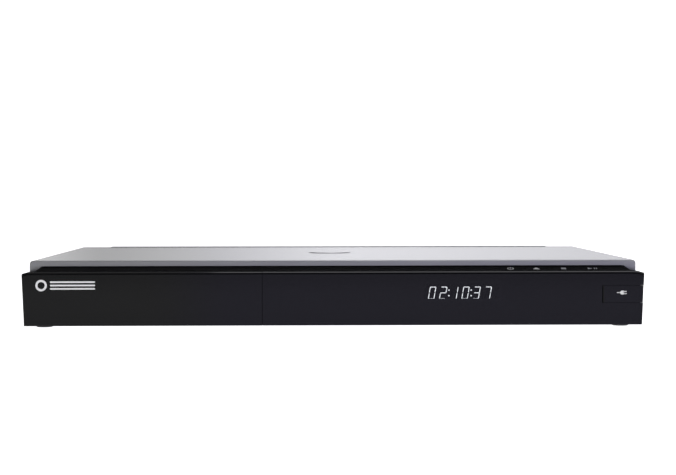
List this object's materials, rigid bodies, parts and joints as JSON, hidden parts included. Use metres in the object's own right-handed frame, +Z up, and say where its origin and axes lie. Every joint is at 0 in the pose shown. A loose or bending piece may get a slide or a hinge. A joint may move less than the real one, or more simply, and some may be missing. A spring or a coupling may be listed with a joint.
{
  "type": "dvr recorder",
  "caption": "Low, full-width set-top video recorder with glossy black front, disc drawer, clock display, top keys, socket cover and a silver metal cover.",
  "frame": {"origin": "centre of the bounding box, at the level of the shelf it stands on", "axes": "+X to the right seen from the front, -Y towards the viewer (front), +Z up"},
  "size_m": [0.43, 0.288, 0.0482],
  "materials": {
    "silver_sheet": "fine metallic silver paint on folded steel sheet",
    "black_steel": "black-plated screws",
    "galvanised_sheet": "bare galvanised steel sheet",
    "rear_sheet": "bare galvanised steel sheet",
    "foot_plastic": "matt moulded plastic",
    "rubber_pad": "soft matt rubber",
    "satin_black": "gloss-to-satin black moulding",
    "gloss_black": "mirror-gloss piano black",
    "smoked_window": "smoked acrylic, almost black",
    "lit_digits": "glowing pale display segments",
    "display_glass": "dark display glass",
    "circuit_board": "green solder mask",
    "paper_board": "tan paper laminate",
    "connector_metal": "nickel-plated steel",
    "jack_metal": "plated brass",
    "port_plastic": "black moulded plastic",
    "tray_plastic": "fine-textured black moulding",
    "drive_plastic": "glass-filled grey-black moulding",
    "gear_plastic": "natural white acetal",
    "belt_rubber": "smooth black rubber",
    "bright_steel": "bright plated steel",
    "cast_metal": "cast aluminium",
    "heatsink_metal": "extruded aluminium",
    "clear_lens": "clear lens in a pale ring",
    "coil_yellow": "yellow winding tape over dark core",
    "capacitor_sleeve": "dark shrink sleeve",
    "wire_sleeve": "insulated wire",
    "ribbon_plastic": "pale flat cable",
    "key_plastic": "gloss-to-satin black key"
  },
  "bodies": {
    "chassis": {"ac_inlet": "port_plastic", "aerial_connectors": "connector_metal", "av_housing": "port_plastic", "av_jacks": "jack_metal", "bottom_chassis": "galvanised_sheet", "capacitors": "capacitor_sleeve", "clamp_bridge": "galvanised_sheet", "cover_screws": "black_steel", "disk_bracket": "galvanised_sheet", "disk_grommets": "belt_rubber", "display_digits": "lit_digits", "display_module": "display_glass", "display_window": "smoked_window", "drive_board": "circuit_board", "drive_frame": "drive_plastic", "fan_frame": "port_plastic", "feet": "foot_plastic", "foot_pads": "rubber_pad", "front_boards": "circuit_board", "front_frame": "satin_black", "hard_drive": "cast_metal", "hard_drive_board": "circuit_board", "hdmi_port": "connector_metal", "heatsinks": "heatsink_metal", "inner_screws": "bright_steel", "lan_port": "connector_metal", "loading_belt": "belt_rubber", "loading_motor": "bright_steel", "main_board": "circuit_board", "optical_port": "port_plastic", "power_board": "paper_board", "rear_panel": "rear_sheet", "ribbon_cable": "ribbon_plastic", "right_fascia": "gloss_black", "sled_motor": "bright_steel", "sled_rods": "bright_steel", "spindle_motor": "bright_steel", "standoffs": "jack_metal", "top_cover": "silver_sheet", "transformer": "coil_yellow", "traverse_plate": "galvanised_sheet", "tuner": "connector_metal", "tuner_board": "circuit_board", "usb_socket": "connector_metal", "wiring": "wire_sleeve"},
    "drawer": {"tray_bezel": "gloss_black", "disc_tray": "tray_plastic"},
    "loading_gear": {"loading_gear": "gear_plastic"},
    "motor_pulley": {"motor_pulley": "gear_plastic"},
    "turntable": {"turntable": "tray_plastic"},
    "disc_clamp": {"disc_clamp": "tray_plastic"},
    "pickup": {"pickup_sled": "cast_metal", "pickup_lens": "clear_lens"},
    "lead_screw": {"lead_screw": "bright_steel"},
    "fan_rotor": {"fan_rotor": "port_plastic"},
    "usb_cover": {"usb_cover": "gloss_black"},
    "power_key": {"power_key": "key_plastic"},
    "open_key": {"open_key": "key_plastic"},
    "stop_key": {"stop_key": "key_plastic"},
    "play_key": {"play_key": "key_plastic"}
  },
  "joints": [
    {"name": "drawer_slide", "type": "slide", "parent": "chassis", "child": "drawer", "axis": [0, -1, 0], "range_m": [0, 0.135]},
    {"name": "loading_gear_spin", "type": "hinge", "parent": "chassis", "child": "loading_gear", "pos_m": [-0.177, -0.112, 0.018], "axis": [0, 0, 1], "range_deg": [0, 780]},
    {"name": "motor_pulley_spin", "type": "hinge", "parent": "chassis", "child": "motor_pulley", "pos_m": [-0.14, -0.114, 0.012], "axis": [0, 0, 1], "range_deg": [0, 3020]},
    {"name": "turntable_spin", "type": "hinge", "parent": "chassis", "child": "turntable", "pos_m": [-0.132, -0.075, 0.025], "axis": [0, 0, 1], "continuous": true},
    {"name": "disc_clamp_spin", "type": "hinge", "parent": "chassis", "child": "disc_clamp", "pos_m": [-0.132, -0.075, 0.034], "axis": [0, 0, 1], "continuous": true},
    {"name": "pickup_slide", "type": "slide", "parent": "chassis", "child": "pickup", "axis": [0, 1, 0], "range_m": [0, 0.034]},
    {"name": "lead_screw_spin", "type": "hinge", "parent": "chassis", "child": "lead_screw", "pos_m": [-0.094, -0.024, 0.0115], "axis": [0, 1, 0], "range_deg": [0, 3410]},
    {"name": "fan_spin", "type": "hinge", "parent": "chassis", "child": "fan_rotor", "pos_m": [0.12, 0.126, 0.025], "axis": [0, 1, 0], "continuous": true},
    {"name": "usb_cover_hinge", "type": "hinge", "parent": "chassis", "child": "usb_cover", "pos_m": [0.1872, -0.1428, 0.0243], "axis": [0, 0, -1], "range_deg": [0, 95]},
    {"name": "power_key_press", "type": "slide", "parent": "chassis", "child": "power_key", "axis": [0, 0, -1], "range_m": [0, 0.0008], "stiffness_N_per_m": 300},
    {"name": "open_key_press", "type": "slide", "parent": "chassis", "child": "open_key", "axis": [0, 0, -1], "range_m": [0, 0.0008], "stiffness_N_per_m": 300},
    {"name": "stop_key_press", "type": "slide", "parent": "chassis", "child": "stop_key", "axis": [0, 0, -1], "range_m": [0, 0.0008], "stiffness_N_per_m": 300},
    {"name": "play_key_press", "type": "slide", "parent": "chassis", "child": "play_key", "axis": [0, 0, -1], "range_m": [0, 0.0008], "stiffness_N_per_m": 300}
  ],
  "couplings": [
    {"joint": "loading_gear_spin", "follows": "drawer_slide", "rad_per_m": 100},
    {"joint": "motor_pulley_spin", "follows": "drawer_slide", "rad_per_m": 387.88},
    {"joint": "disc_clamp_spin", "follows": "turntable_spin", "ratio": 1},
    {"joint": "lead_screw_spin", "follows": "pickup_slide", "rad_per_m": 1745.3}
  ]
}
